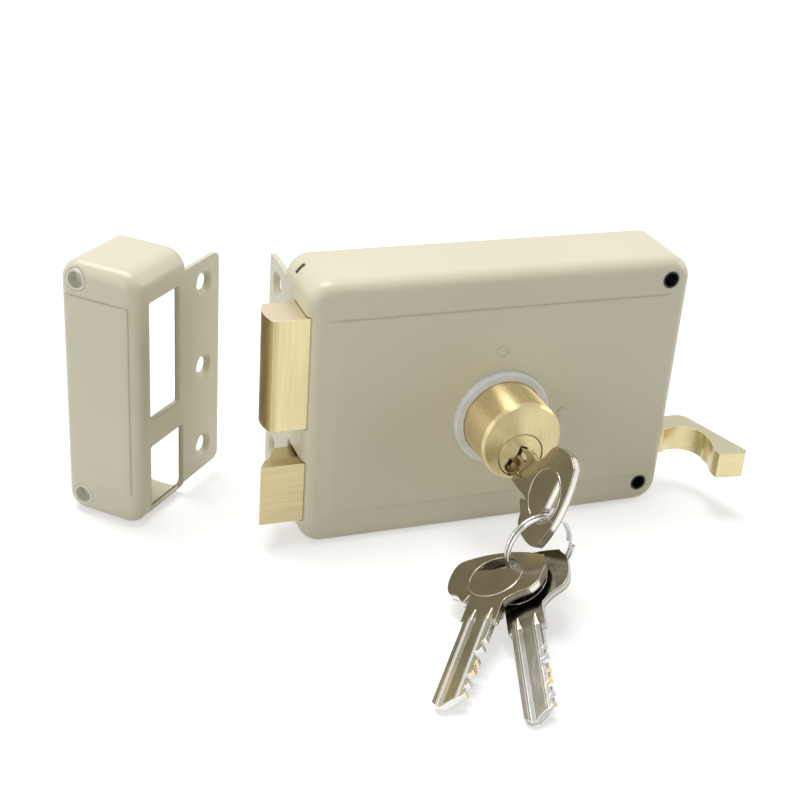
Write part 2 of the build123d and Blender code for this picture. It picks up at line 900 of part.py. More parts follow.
# Pull handle: a hook in plan, on a stem that runs into the case
hook_x = right + handle_gap
hook_span = handle_reach - handle_gap
hook_deep = handle_rear - handle_front
hook = [(hook_x + u * hook_span, handle_rear - v * hook_deep) for u, v in hook_shares]
with BuildPart() as pull_handle:
    with BuildSketch(Plane.XY.offset(handle_low)):
        with BuildLine():
            Polyline((hook_x, foot_front), (hook_x, handle_rear), hook[0])
            Spline(*hook[0:3], tangents=hook_back_shares)
            Polyline(*hook[2:6])
            Spline(*hook[5:9], tangents=hook_hollow_shares)
            ThreePointArc(*hook[8:11])
            Line(hook[10], (hook_x, foot_front))
        make_face()
    extrude(amount=handle_tall)
    span_box(
        (right - stem_inside, hook_x),
        (stem_front, stem_rear),
        (handle_low, handle_low + handle_tall),
    )
    span_box(
        (right - stem_inside - overrun, bar_end + snug),
        (bar_front - snug, bar_rear + snug),
        (bar_low - snug, bar_high + snug),
        Mode.SUBTRACT,
    )
    rods(
        handle_pin_spot,
        (stem_front - overrun, stem_rear + overrun),
        pin_diameter / 2 + snug,
        Mode.SUBTRACT,
    )
pull_handle.part.label = "pull_handle"

# Key cylinder
turn = math.radians(keyway_turn)
cut_way = Vector(math.sin(turn), 0, math.cos(turn))
side_way = Vector(-math.cos(turn), 0, math.sin(turn))
plug_centre = Vector(cylinder_x, 0, plug_z)
pin_rows = [cylinder_front + pin_first + index * pin_pitch for index in range(pin_count)]
with BuildPart() as cylinder_body:
    rods([(cylinder_x, cylinder_z)], (cylinder_front, cylinder_rear), cylinder_radius)
    rim_edges = cylinder_body.faces().sort_by(Axis.Y)[0].edges()
    chamfer(rim_edges, cylinder_edge)
    rods(
        [(cylinder_x, plug_z)],
        (cylinder_front - overrun, cylinder_rear + overrun),
        bore_radius,
        Mode.SUBTRACT,
    )
    with BuildSketch(Plane.XY.offset(plug_z)):
        with Locations(*[(cylinder_x, y) for y in pin_rows]):
            Circle(chamber_wide / 2)
    extrude(amount=cylinder_top - plug_z + overrun, mode=Mode.SUBTRACT)
cylinder_body.part.label = "cylinder_body"

with BuildPart() as cylinder_plug:
    rods([(cylinder_x, plug_z)], (cylinder_front, plug_rear), plug_radius)
    chamfer(cylinder_plug.faces().sort_by(Axis.Y)[0].edges(), plug_edge)
    keyway = Plane(origin=plug_centre + Vector(0, plug_rear, 0), x_dir=-side_way, z_dir=(0, -1, 0))
    with BuildSketch(keyway):
        with Locations((0, (keyway_top - plug_radius - overrun) / 2)):
            Rectangle(keyway_wide, keyway_top + plug_radius + overrun)
    extrude(amount=plug_rear - cylinder_front + overrun, mode=Mode.SUBTRACT)
    mouth = Plane(
        origin=plug_centre + Vector(0, cylinder_front + mouth_deep, 0),
        x_dir=-side_way,
        z_dir=(0, -1, 0),
    )
    with BuildSketch(mouth):
        with Locations((-keyway_wide / 2, -plug_radius / 2)):
            Circle(mouth_radius)
    extrude(amount=mouth_deep + overrun, mode=Mode.SUBTRACT)
    for y in pin_rows:
        with BuildSketch(Plane(origin=plug_centre + Vector(0, y, 0), z_dir=cut_way)):
            Circle(chamber_wide / 2)
        extrude(amount=plug_radius + overrun, mode=Mode.SUBTRACT)
    screw_reach = side_way * cam_screw_spread
    screw_ends = [
        (cylinder_x + side * screw_reach.X, plug_z + side * screw_reach.Z) for side in (-1, 1)
    ]
    rods(
        screw_ends,
        (plug_rear - cam_screw_reach - snug, plug_rear + overrun),
        cam_screw / 2 + snug,
        Mode.SUBTRACT,
    )
cylinder_plug.part.label = "cylinder_plug"

with BuildPart() as cylinder_ring:
    rods([(cylinder_x, cylinder_z)], (panel_face - ring_thick, panel_face), ring_outer / 2)
    fillet(cylinder_ring.faces().sort_by(Axis.Y)[0].edges(), ring_edge)
    rods(
        [(cylinder_x, cylinder_z)],
        (panel_face - ring_thick - overrun, panel_face + overrun),
        cylinder_hole / 2,
        Mode.SUBTRACT,
    )
cylinder_ring.part.label = "cylinder_ring"

with BuildPart() as cylinder_nut:
    nut_rear = front_inside + nut_thick
    rods([(cylinder_x, cylinder_z)], (front_inside, nut_rear), nut_outer / 2)
    span_box(
        (cylinder_x - nut_outer, cylinder_x + nut_outer),
        (front_inside, nut_rear),
        (cylinder_z - nut_flats / 2, cylinder_z + nut_flats / 2),
        Mode.INTERSECT,
    )
    rods(
        [(cylinder_x, cylinder_z)],
        (front_inside - overrun, nut_rear + overrun),
        cylinder_radius + snug,
        Mode.SUBTRACT,
    )
cylinder_nut.part.label = "cylinder_nut"

# Pins, springs and plugs, one stack for each row
pin_low = keyway_top + pin_blade_gap
pin_high = math.sqrt(plug_radius**2 - (pin_wide / 2) ** 2) - snug
with BuildPart() as key_pins:
    for y in pin_rows:
        with BuildSketch(
            Plane(origin=plug_centre + Vector(0, y, 0) + cut_way * pin_low, z_dir=cut_way)
        ):
            Circle(pin_wide / 2)
        extrude(amount=pin_high - pin_low)
key_pins.part.label = "key_pins"

driver_low = plug_z + bore_radius + snug
chamber_plug_low = cylinder_top - chamber_plug_long - cylinder_edge / 2
with BuildPart() as driver_pins:
    with BuildSketch(Plane.XY.offset(driver_low)):
        with Locations(*[(cylinder_x, y) for y in pin_rows]):
            Circle(pin_wide / 2)
    extrude(amount=driver_long)
driver_pins.part.label = "driver_pins"

with BuildPart() as chamber_plugs:
    with BuildSketch(Plane.XY.offset(chamber_plug_low)):
        with Locations(*[(cylinder_x, y) for y in pin_rows]):
            Circle(chamber_wide / 2 - snug / 2)
    extrude(amount=chamber_plug_long + cylinder_edge)
    rods(
        [(cylinder_x, cylinder_z)], (cylinder_front, cylinder_rear), cylinder_radius, Mode.INTERSECT
    )
chamber_plugs.part.label = "chamber_plugs"

pin_coil_low = driver_low + driver_long + pin_wire / 2 + snug
pin_coil_pitch = (chamber_plug_low - pin_coil_low - pin_wire / 2 - snug) / pin_spring_turns
with BuildPart() as pin_springs:
    for y in pin_rows:
        wire_coil(
            Plane(origin=(cylinder_x, y, pin_coil_low)),
            (pin_spring_diameter - pin_wire) / 2,
            pin_wire,
            pin_coil_pitch,
            pin_spring_turns,
        )
pin_springs.part.label = "pin_springs"

# Cam on the plug's end, and its two screws
cam_rear = plug_rear + cam_thick
with BuildPart() as plug_cam:
    rods([(cylinder_x, plug_z)], (plug_rear, cam_rear), cam_hub / 2)
    cam_face = Plane(origin=plug_centre + Vector(0, cam_rear, 0), x_dir=-side_way, z_dir=(0, -1, 0))
    with BuildSketch(cam_face):
        with Locations((0, -(cam_reach - cam_width / 2) / 2)):
            SlotOverall(cam_reach + cam_width / 2, cam_width, rotation=90)
    extrude(amount=cam_thick)
    rods(
        screw_ends,
        (plug_rear - overrun, cam_rear + overrun),
        cam_screw / 2 + snug,
        Mode.SUBTRACT,
    )
plug_cam.part.label = "plug_cam"

with BuildPart() as cam_screws:
    rods(screw_ends, (plug_rear - cam_screw_reach, cam_rear), cam_screw / 2)
    rods(screw_ends, (cam_rear, cam_rear + cam_screw_head_thick), cam_screw_head / 2)
cam_screws.part.label = "cam_screws"

# Keys and ring
tip_place = plug_centre - cut_way * key_drop
tip_place = Vector(tip_place.X, cylinder_front - shoulder_gap + blade_long, tip_place.Z)
with BuildPart() as inserted_key:
    cut_key(Plane(origin=tip_place, x_dir=(0, -1, 0), z_dir=side_way))
inserted_key.part.label = "inserted_key"

ring_centre = tip_place + Vector(0, -slot_along, 0) + Vector(*ring_hang)
with BuildPart() as loose_key_a:
    slot_place = ring_centre + Vector(*key_a_hang)
    cut_key(hanging_key(slot_place, key_a_tip_lift, key_a_yaw, key_a_roll))
loose_key_a.part.label = "loose_key_a"

with BuildPart() as loose_key_b:
    slot_place = ring_centre + Vector(*key_b_hang)
    cut_key(hanging_key(slot_place, key_b_tip_lift, key_b_yaw, key_b_roll))
loose_key_b.part.label = "loose_key_b"

yaw, tilt = math.radians(ring_yaw), math.radians(ring_tilt)
ring_across = Vector(math.cos(yaw), math.sin(yaw), 0)
ring_way = Vector(
    math.sin(yaw) * math.cos(tilt), -math.cos(yaw) * math.cos(tilt), math.sin(tilt)
)
ring_plane = Plane(origin=ring_centre, x_dir=ring_across, z_dir=ring_way)
with BuildPart() as key_ring:
    wire_coil(
        ring_plane.offset(-ring_pitch * ring_turns / 2),
        ring_radius,
        ring_wire,
        ring_pitch,
        ring_turns,
    )
key_ring.part.label = "key_ring"

# Keeper: a pressed shell with two windows in its right wall and a flange behind it
keeper_angle = math.radians(keeper_turn)
keeper_x = Vector(math.cos(keeper_angle), math.sin(keeper_angle), 0)
keeper_y = Vector(-math.sin(keeper_angle), math.cos(keeper_angle), 0)
keeper_base = Plane(origin=(*keeper_spot, 0), x_dir=keeper_x, z_dir=(0, 0, 1))
keeper_origin = Vector(*keeper_spot, 0)


def keeper_front(y, x=0, z=0):
    """The plane at the keeper's own y that faces its front, with its X along its own X."""
    place = keeper_origin + keeper_x * x + keeper_y * y + Vector(0, 0, z)
    return Plane(origin=place, x_dir=keeper_x, z_dir=-keeper_y)


cap_spots = [(cap_spot_x, cap_spot_low), (cap_spot_x, cap_spot_high)]
keeper_holes = [keeper_hole_low + step * keeper_hole_pitch for step in (0, 1, 2)]
with BuildPart() as keeper_shell:
    pressed_shell(
        keeper_shell,
        keeper_front(panel_raise, -keeper_width / 2),
        keeper_width,
        keeper_height,
        keeper_depth - panel_raise,
        keeper_corner,
        keeper_rim,
    )
    raised_panel(
        keeper_base,
        -keeper_width + keeper_panel_margin + keeper_rim / 2,
        -keeper_panel_margin - keeper_rim / 2,
        panel_raise,
        keeper_panel_fade,
        keeper_panel_low,
        keeper_panel_high,
    )
    keeper_side = Plane(origin=keeper_origin, x_dir=keeper_y, z_dir=keeper_x)
    back_flange(
        keeper_side,
        keeper_depth - overrun,
        keeper_depth + keeper_flange_reach,
        keeper_flange_low,
        keeper_flange_high,
        keeper_flange_round,
        keeper_flange_round,
        -sheet,
    )
    hole_planes = [
        Plane(
            origin=keeper_origin
            + keeper_y * (keeper_depth + keeper_hole_setback)
            + Vector(0, 0, z),
            z_dir=keeper_x,
        )
        for z in keeper_holes
    ]
    with Locations(*hole_planes):
        CounterSinkHole(
            screw_hole / 2,
            screw_sink / 2,
            depth=sheet + overrun,
            counter_sink_angle=screw_sink_turn,
        )
    with BuildSketch(keeper_side):
        for low, high, far in (
            (keeper_window_low, keeper_window_high, keeper_window_rear),
            (keeper_latch_low, keeper_latch_high, keeper_latch_rear),
        ):
            with Locations(((keeper_window_front + far) / 2, (low + high) / 2)):
                RectangleRounded(far - keeper_window_front, high - low, keeper_window_round)
    extrude(amount=sheet + overrun, both=True, mode=Mode.SUBTRACT)
    with BuildSketch(keeper_front(panel_raise + sheet)):
        with Locations(*cap_spots):
            Circle(cap_diameter / 2)
    extrude(amount=sheet + 2 * overrun, both=True, mode=Mode.SUBTRACT)
keeper_shell.part.label = "keeper_shell"

with BuildPart() as keeper_screw_caps:
    with BuildSketch(keeper_front(panel_raise + cap_deep)):
        with Locations(*cap_spots):
            Circle(cap_diameter / 2 - snug)
    extrude(amount=cap_deep)
    with BuildSketch(keeper_front(panel_raise + cap_deep - cap_wall)):
        with Locations(*cap_spots):
            Circle(cap_diameter / 2 - cap_wall)
    extrude(amount=cap_deep, mode=Mode.SUBTRACT)
keeper_screw_caps.part.label = "keeper_screw_caps"


def least_ring_gap(count=90):
    """The least space between two turns of the key ring, on this many points to a turn."""
    points = []
    for index in range(count * ring_turns + 1):
        angle = index * math.tau / count
        rise = ring_pitch * index / count
        points.append((ring_radius * math.cos(angle), ring_radius * math.sin(angle), rise))
    apart = [
        math.dist(points[first], points[second])
        for first in range(len(points))
        for second in range(first + count // 2, len(points))
    ]
    return min(apart) - ring_wire


print("least gap of the key ring to itself", round(least_ring_gap(), 2))

pieces = (
    case_shell,
    back_plate,
    plate_studs,
    plate_screws,
    fixing_sleeves,
    deadbolt,
    deadbolt_tail,
    tail_rivets,
    guide_post,
    detent_lever,
    detent_pivot,
    detent_spring,
    latch_bolt,
    latch_bar,
    latch_rivet,
    handle_rivet,
    latch_guide_post,
    latch_spring,
    spring_stop,
    pull_handle,
    cylinder_body,
    cylinder_plug,
    cylinder_ring,
    cylinder_nut,
    key_pins,
    driver_pins,
    chamber_plugs,
    pin_springs,
    plug_cam,
    cam_screws,
    inserted_key,
    loose_key_a,
    loose_key_b,
    key_ring,
    keeper_shell,
    keeper_screw_caps,
)
for piece in pieces:
    export_step(piece.part, "parts/" + piece.part.label + ".step")
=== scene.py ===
import math

import bpy
import numpy as np
from mathutils import Matrix, Vector


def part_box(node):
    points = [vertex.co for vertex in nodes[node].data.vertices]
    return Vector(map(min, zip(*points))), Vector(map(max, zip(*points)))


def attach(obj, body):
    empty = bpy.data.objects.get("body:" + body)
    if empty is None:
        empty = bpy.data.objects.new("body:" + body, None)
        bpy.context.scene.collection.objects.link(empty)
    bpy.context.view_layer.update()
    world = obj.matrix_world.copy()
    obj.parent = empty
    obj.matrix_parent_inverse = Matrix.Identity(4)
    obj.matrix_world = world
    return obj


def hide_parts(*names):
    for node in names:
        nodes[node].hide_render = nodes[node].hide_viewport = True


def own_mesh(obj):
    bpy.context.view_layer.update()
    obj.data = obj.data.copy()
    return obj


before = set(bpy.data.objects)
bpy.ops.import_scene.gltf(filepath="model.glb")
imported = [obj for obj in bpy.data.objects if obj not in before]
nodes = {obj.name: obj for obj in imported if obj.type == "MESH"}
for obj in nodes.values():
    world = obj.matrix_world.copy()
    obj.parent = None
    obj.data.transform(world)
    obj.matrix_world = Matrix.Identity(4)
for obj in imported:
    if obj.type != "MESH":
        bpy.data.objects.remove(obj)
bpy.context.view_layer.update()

MM = 0.001

# The photograph's camera, solved from the case's edges: its place in metres, its three turns
# in degrees, where its view begins, and its focal length in pixels of an 800 pixel frame.
CAMERA_PLACE = (-0.16548, -0.35371, 0.23466)
CAMERA_AZIMUTH = -21.47
CAMERA_TILT = 27.22
CAMERA_ROLL = 4.34
CAMERA_NEAR = 10 * MM
FOCAL_PIXELS = 1446.33
FRAME_PIXELS = 800
SENSOR_WIDTH = 36.0

# The even light from all round, and the white that the eye and mirrors see in its place.
FILL_LEVEL = 0.34
WHITE_LEVEL = 1.0

# The table top: half its side and its own tone. The white that it adds for the eye rises over
# two distances from one level to another.
FLOOR_REACH = 6.0
FLOOR_TONE = 0.68
WHITE_SPREAD = (0.35, 1.6, 0.50, 0.85)

# Where the lamps aim, and each lamp's place, its two sides in metres and its power in watts.
LAMP_TARGET = (-0.02, -0.02, 0.03)
LAMPS = {
    "overhead": ((-0.19, 0.25, 1.1), (0.36, 0.9), 10.0),
    "front": ((-0.7, -0.38, 0.22), (0.5, 0.4), 1.15),
    "right_side": ((1.1, -0.1, 0.4), (0.7, 0.5), 3.2),
}

# The radius over which an edge is softened, on cut and turned pieces and on painted sheet, and
# the dot products of the soft and the true normal where an edge begins and is full.
FINE_EDGE = 0.3 * MM
SHEET_EDGE = 1.2 * MM
EDGE_SAMPLES = 6
EDGE_DOTS = (0.995, 0.85)

# The range that noise mostly stays in, and its narrow middle.
NOISE_RANGE = (0.3, 0.7)
NOISE_MIDDLE = (0.35, 0.65)

# The studs' width, where the swelling over each one ends and is full, and how high it stands.
STUD_WIDE = 4 * MM
STUD_SWELL = (2.3 * MM, 1.1 * MM)
SWELL_HIGH = 0.25 * MM

# How far up a face's normal points where the painted light and shade of the brass tops begins, and where
# it is full.
TOP_SLOPES = (0.80, 0.95)

# The dead bolt's nose, as far as it is milled round, and the painted shade that darkens it.
NOSE_LONG = 3.4 * MM
NOSE_SHADE = (0.36, 0.26, 0.08)

# How far behind the cylinder's front the face's finish begins and is full, and how far from the plug's
# edge the painted shade of the gap ends and is full.
FACE_DEPTHS = (0.4 * MM, 0.2 * MM)
LINE_REACH = (0.16 * MM, 0.08 * MM)

# The keys' blade, which ends at the bow over a short stretch, and the share of a key's length
# that is certainly blade.
BLADE_LONG = 30 * MM
BLADE_FADE = 1.8 * MM
BLADE_SHARE = 0.4

# How far from the key's middle plane the grooves begin and are full. On the bow that is nearer
# by a margin, so that its shallow ring isn't taken for a groove.
GROOVE_DEPTHS = (1.05 * MM, 0.85 * MM)
BOW_MARGIN = 0.3 * MM

# How far across the blade the cuts' bare brass begins and is full.
CUT_REACH = (1.6 * MM, 2.6 * MM)

# Where the back plate's tabs begin and are full dark, and the painted shade on them.
TAB_SHARES = (1.86, 1.90)
TAB_SHADE = (0.07, 0.06, 0.045)

# The squeezed springs' wires and turns, and the grid of their meshes for each turn and ring.
LATCH_WIRE, LATCH_TURNS = 0.7 * MM, 9
DETENT_WIRE, DETENT_TURNS = 0.4 * MM, 7
COIL_STEPS = 36
WIRE_SIDES = 14


def add_camera():
    """The camera looks along its azimuth and tilt, and is then rolled about its own axis."""
    azimuth, tilt, roll = (math.radians(v) for v in (CAMERA_AZIMUTH, CAMERA_TILT, CAMERA_ROLL))
    forward = Vector(
        (-math.sin(azimuth) * math.cos(tilt), math.cos(azimuth) * math.cos(tilt), -math.sin(tilt))
    )
    level = forward.cross(Vector((0, 0, 1))).normalized()
    rise = level.cross(forward)
    right = math.cos(roll) * level + math.sin(roll) * rise
    up = -math.sin(roll) * level + math.cos(roll) * rise
    data = bpy.data.cameras.new("photo_camera")
    data.sensor_width = SENSOR_WIDTH
    data.lens = FOCAL_PIXELS / FRAME_PIXELS * SENSOR_WIDTH
    data.clip_start = CAMERA_NEAR
    camera = bpy.data.objects.new("photo_camera", data)
    turn = Matrix((right, up, -forward)).transposed().to_4x4()
    camera.matrix_world = Matrix.Translation(CAMERA_PLACE) @ turn
    bpy.context.scene.collection.objects.link(camera)
    bpy.context.scene.camera = camera


class Finish:
    """A node material under construction: short calls that add and join its nodes."""

    def __init__(self, name):
        self.material = bpy.data.materials.new(name)
        self.material.use_nodes = True
        self.tree = self.material.node_tree
        self.tree.nodes.clear()
        self.shader = self.add("BsdfPrincipled")
        self.join(self.shader.outputs[0], self.add("OutputMaterial").inputs[0])
        self.place = self.add("TexCoord").outputs["Object"]

    def add(self, kind):
        return self.tree.nodes.new("ShaderNode" + kind)

    def join(self, source, target):
        self.tree.links.new(source, target)

    def set(self, **values):
        for name, value in values.items():
            self.shader.inputs[name.replace("_", " ")].default_value = value

    def mapped(self, scale=(1, 1, 1), turn=(0, 0, 0), move=(0, 0, 0)):
        """Object coordinates stretched, turned by degrees and moved."""
        node = self.add("Mapping")
        node.inputs["Location"].default_value = move
        node.inputs["Rotation"].default_value = tuple(math.radians(v) for v in turn)
        node.inputs["Scale"].default_value = scale
        self.join(self.place, node.inputs["Vector"])
        return node.outputs[0]

    def noise(self, vector, detail=2.0, rough=0.5):
        """Noise with one cell for each unit of the vector."""
        node = self.add("TexNoise")
        node.inputs["Scale"].default_value = 1.0
        node.inputs["Detail"].default_value = detail
        node.inputs["Roughness"].default_value = rough
        self.join(vector, node.inputs["Vector"])
        return node.outputs["Fac"]

    def even_noise(self, scale, detail=2.0, rough=0.5):
        """Noise with as many cells to a metre along each axis."""
        return self.noise(self.mapped((scale, scale, scale)), detail, rough)

    def ramp(self, value, low, high, out_low=0.0, out_high=1.0):
        node = self.add("MapRange")
        for name, number in (
            ("From Min", low), ("From Max", high), ("To Min", out_low), ("To Max", out_high),
        ):
            node.inputs[name].default_value = number
        self.join(value, node.inputs["Value"])
        return node.outputs[0]

    def smooth(self, value, low, high):
        """A smooth step from nought at low to one at high."""
        result = self.ramp(value, low, high)
        result.node.interpolation_type = "SMOOTHSTEP"
        return result

    def math(self, operation, first, second=0.0):
        node = self.add("Math")
        node.operation = operation
        for slot, value in ((0, first), (1, second)):
            if isinstance(value, (int, float)):
                node.inputs[slot].default_value = value
            else:
                self.join(value, node.inputs[slot])
        return node.outputs[0]

    def times(self, *values):
        """The product of two or more values."""
        product = values[0]
        for value in values[1:]:
            product = self.math("MULTIPLY", product, value)
        return product

    def blend(self, amount, first, second):
        """A colour between two colours, by an amount from nought to one."""
        node = self.add("Mix")
        node.data_type = "RGBA"
        sockets = {s.identifier: s for s in node.inputs}
        self.join(amount, sockets["Factor_Float"])
        for key, value in (("A_Color", first), ("B_Color", second)):
            if isinstance(value, tuple):
                sockets[key].default_value = (*value, 1.0)
            else:
                self.join(value, sockets[key])
        return next(s for s in node.outputs if s.identifier == "Result_Color")

    def parts(self, vector):
        """The three parts of a vector, by the names X, Y and Z."""
        node = self.add("SeparateXYZ")
        self.join(vector, node.inputs[0])
        return node.outputs

    def normal(self):
        return self.add("NewGeometry").outputs["Normal"]

    def distance(self, middle):
        """The distance from a line along Y through a point."""
        place = self.parts(self.mapped(move=(-middle.x, 0, -middle.z)))
        return self.math("SQRT", self.math("ADD", *(self.times(place[a], place[a]) for a in "XZ")))

    def softened(self, radius=FINE_EDGE):
        """The normal, softened where it is within the radius of a sharp edge."""
        bevel = self.add("Bevel")
        bevel.samples = EDGE_SAMPLES
        bevel.inputs["Radius"].default_value = radius
        return bevel.outputs[0]

    def edge_of(self, soft):
        """A mask that is one where a softened normal has turned away from the true one."""
        dot = self.add("VectorMath")
        dot.operation = "DOT_PRODUCT"
        self.join(soft, dot.inputs[0])
        self.join(self.normal(), dot.inputs[1])
        return self.ramp(dot.outputs["Value"], *EDGE_DOTS)

    def bump(self, height, distance, strength=1.0, normal=None):
        node = self.add("Bump")
        node.inputs["Strength"].default_value = strength
        node.inputs["Distance"].default_value = distance
        self.join(height, node.inputs["Height"])
        if normal is not None:
            self.join(normal, node.inputs["Normal"])
        return node.outputs[0]

    def finish(self, colour, rough, normal):
        self.join(colour, self.shader.inputs["Base Color"])
        self.join(rough, self.shader.inputs["Roughness"])
        self.join(normal, self.shader.inputs["Normal"])
        return self.material


def cream_paint():
    """Stoved cream enamel on pressed steel: a soft skin, faint orange peel, and paler at edges, partly
    from wear and partly as a painted highlight.

    Where a stud is fixed behind the case's front, the front swells by a smooth step of the
    distance from the stud's axis.
    """
    darker, lighter, worn = (0.663, 0.624, 0.449), (0.722, 0.683, 0.506), (0.80, 0.78, 0.67)
    sheen = 0.23, 0.39
    f = Finish("cream_paint")
    f.set(IOR=1.5)
    soft = f.softened(SHEET_EDGE)
    cloud = f.even_noise(18)
    peel = f.even_noise(900)
    tone = f.blend(f.ramp(cloud, 0.0, 1.0), darker, lighter)
    # The edges are blended paler: partly wear, partly a painted highlight.
    tone = f.blend(f.times(f.edge_of(soft), 0.35), tone, worn)
    rough = f.ramp(cloud, 0.0, 1.0, *sheen)
    low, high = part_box("plate_studs")
    inset = Vector((STUD_WIDE / 2, 0, -STUD_WIDE / 2))
    axes = (Vector((low.x, 0, high.z)) + inset, Vector((high.x, 0, low.z)) - inset)
    swell = f.math("MAXIMUM", *(f.smooth(f.distance(axis), *STUD_SWELL) for axis in axes))
    front = f.ramp(f.parts(f.place)["Y"], low.y, low.y - MM)
    swollen = f.bump(f.times(swell, front), SWELL_HIGH, 1.0, soft)
    return f.finish(tone, rough, f.bump(peel, 0.04 * MM, 0.35, swollen))


def brushed_brass(name, scale, light, deep, painted_top_tone, nose=None):
    """Brass drawn over a belt: streaks that are long on one axis and fine across it.

    Faces that point up take another tone, painted light and shade, lighter on some pieces and darker on
    others. A bolt's nose is painted darker, as shade; nose gives the X of its end and of its start. The
    edges are paler, partly from wear and partly as a painted highlight.
    """
    edge_wear_and_highlight = (0.94, 0.86, 0.62)
    sheen, cloudiness = (0.42, 0.30), (-0.04, 0.04)
    f = Finish(name)
    f.set(Metallic=1.0)
    soft = f.softened()
    streak = f.noise(f.mapped(scale), 4.0, 0.65)
    cloud = f.even_noise(60)
    tone = f.blend(f.ramp(streak, *NOISE_RANGE), deep, light)
    if nose:
        end, start = nose
        # Painted shade: the bolt's nose is darkened.
        tone = f.blend(f.ramp(f.parts(f.place)["X"], start, end), tone, NOSE_SHADE)
    # Painted light and shade: faces that point up take another tone.
    tone = f.blend(f.ramp(f.parts(f.normal())["Z"], *TOP_SLOPES), tone, painted_top_tone)
    # Painted highlight, partly wear: the edges are blended paler.
    tone = f.blend(f.times(f.edge_of(soft), 0.5), tone, edge_wear_and_highlight)
    rough = f.math("ADD", f.ramp(streak, *NOISE_RANGE, *sheen), f.ramp(cloud, *NOISE_RANGE, *cloudiness))
    return f.finish(tone, rough, f.bump(streak, 0.02 * MM, 0.5, soft))


def turned_brass():
    """Satin brass off the lathe: rings on the sides, a belted face, and a dark line of painted shade in
    the gap at the plug.

    The line lies where the distance from the plug's axis is the plug's own radius.
    """
    side_tones = (0.58, 0.445, 0.205), (0.82, 0.69, 0.41)
    face_tones = (0.62, 0.53, 0.29), (0.72, 0.62, 0.36)
    gap_shade_tone = (0.015, 0.012, 0.006)
    sheen, cloudiness = (0.42, 0.33), (-0.04, 0.04)
    rings_per_metre = 5200.0
    f = Finish("turned_brass")
    f.set(Metallic=1.0, Anisotropic=0.95, Anisotropic_Rotation=0.25)
    tangent = f.add("Tangent")
    tangent.direction_type = "RADIAL"
    tangent.axis = "Y"
    f.join(tangent.outputs[0], f.shader.inputs["Tangent"])
    soft = f.softened()
    low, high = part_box("cylinder_body")
    depth = f.parts(f.place)["Y"]
    face = f.ramp(depth, *(low.y + reach for reach in FACE_DEPTHS))
    ring = f.add("CombineXYZ")
    f.join(f.times(f.distance((low + high) / 2), rings_per_metre), ring.inputs[0])
    f.join(f.times(depth, rings_per_metre), ring.inputs[1])
    groove = f.noise(ring.outputs[0], 3.0, 0.6)
    belt = f.noise(f.mapped((2600, 2600, 60), (0, 12, 0)), 3.0, 0.6)
    cloud = f.even_noise(90)
    grain = f.math("ADD", f.times(groove, 0.5), f.times(belt, 0.5))
    middle = f.ramp(grain, *NOISE_MIDDLE)
    tone = f.blend(face, f.blend(middle, *side_tones), f.blend(middle, *face_tones))
    low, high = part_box("cylinder_plug")
    off = f.math("SUBTRACT", f.distance((low + high) / 2), (high.x - low.x) / 2)
    line = f.times(f.ramp(f.math("ABSOLUTE", off), *LINE_REACH), face)
    # Painted shade: the gap at the plug's edge is darkened.
    tone = f.blend(line, tone, gap_shade_tone)
    rough = f.math("ADD", f.ramp(grain, *NOISE_RANGE, *sheen), f.ramp(cloud, *NOISE_RANGE, *cloudiness))
    return f.finish(tone, rough, f.bump(grain, 0.015 * MM, 0.5, soft))


def key_frame(name):
    """A key's own frame, from its mesh: along to the bow, across to the cuts, and through.

    The axes are the principal axes of the mesh's points. The first points to the end that is
    wider, and the second to the side that has more points along the blade, which is the cut side.
    """
    mesh = nodes[name].data
    points = np.empty(len(mesh.vertices) * 3, dtype=np.float32)
    mesh.vertices.foreach_get("co", points)
    points = points.reshape(-1, 3).astype(float)
    middle = (points.min(axis=0) + points.max(axis=0)) / 2
    through, across, along = np.linalg.eigh(np.cov((points - middle).T))[1].T
    reach = (points - middle) @ along
    spread = np.abs((points - middle) @ across)
    bow = reach > np.median(reach)
    if spread[bow].max() < spread[~bow].max():
        along = -along
    reach = points @ along
    tip = reach.min()
    blade = reach < tip + BLADE_SHARE * (reach.max() - tip)
    offset = points @ across
    half = (offset[blade].min() + offset[blade].max()) / 2
    if np.mean(offset[blade]) < half:
        across, half = -across, -half
    through = np.cross(along, across)
    level = (points @ through).min() / 2 + (points @ through).max() / 2
    return Matrix((along, across, through)), Vector((tip, half, level))


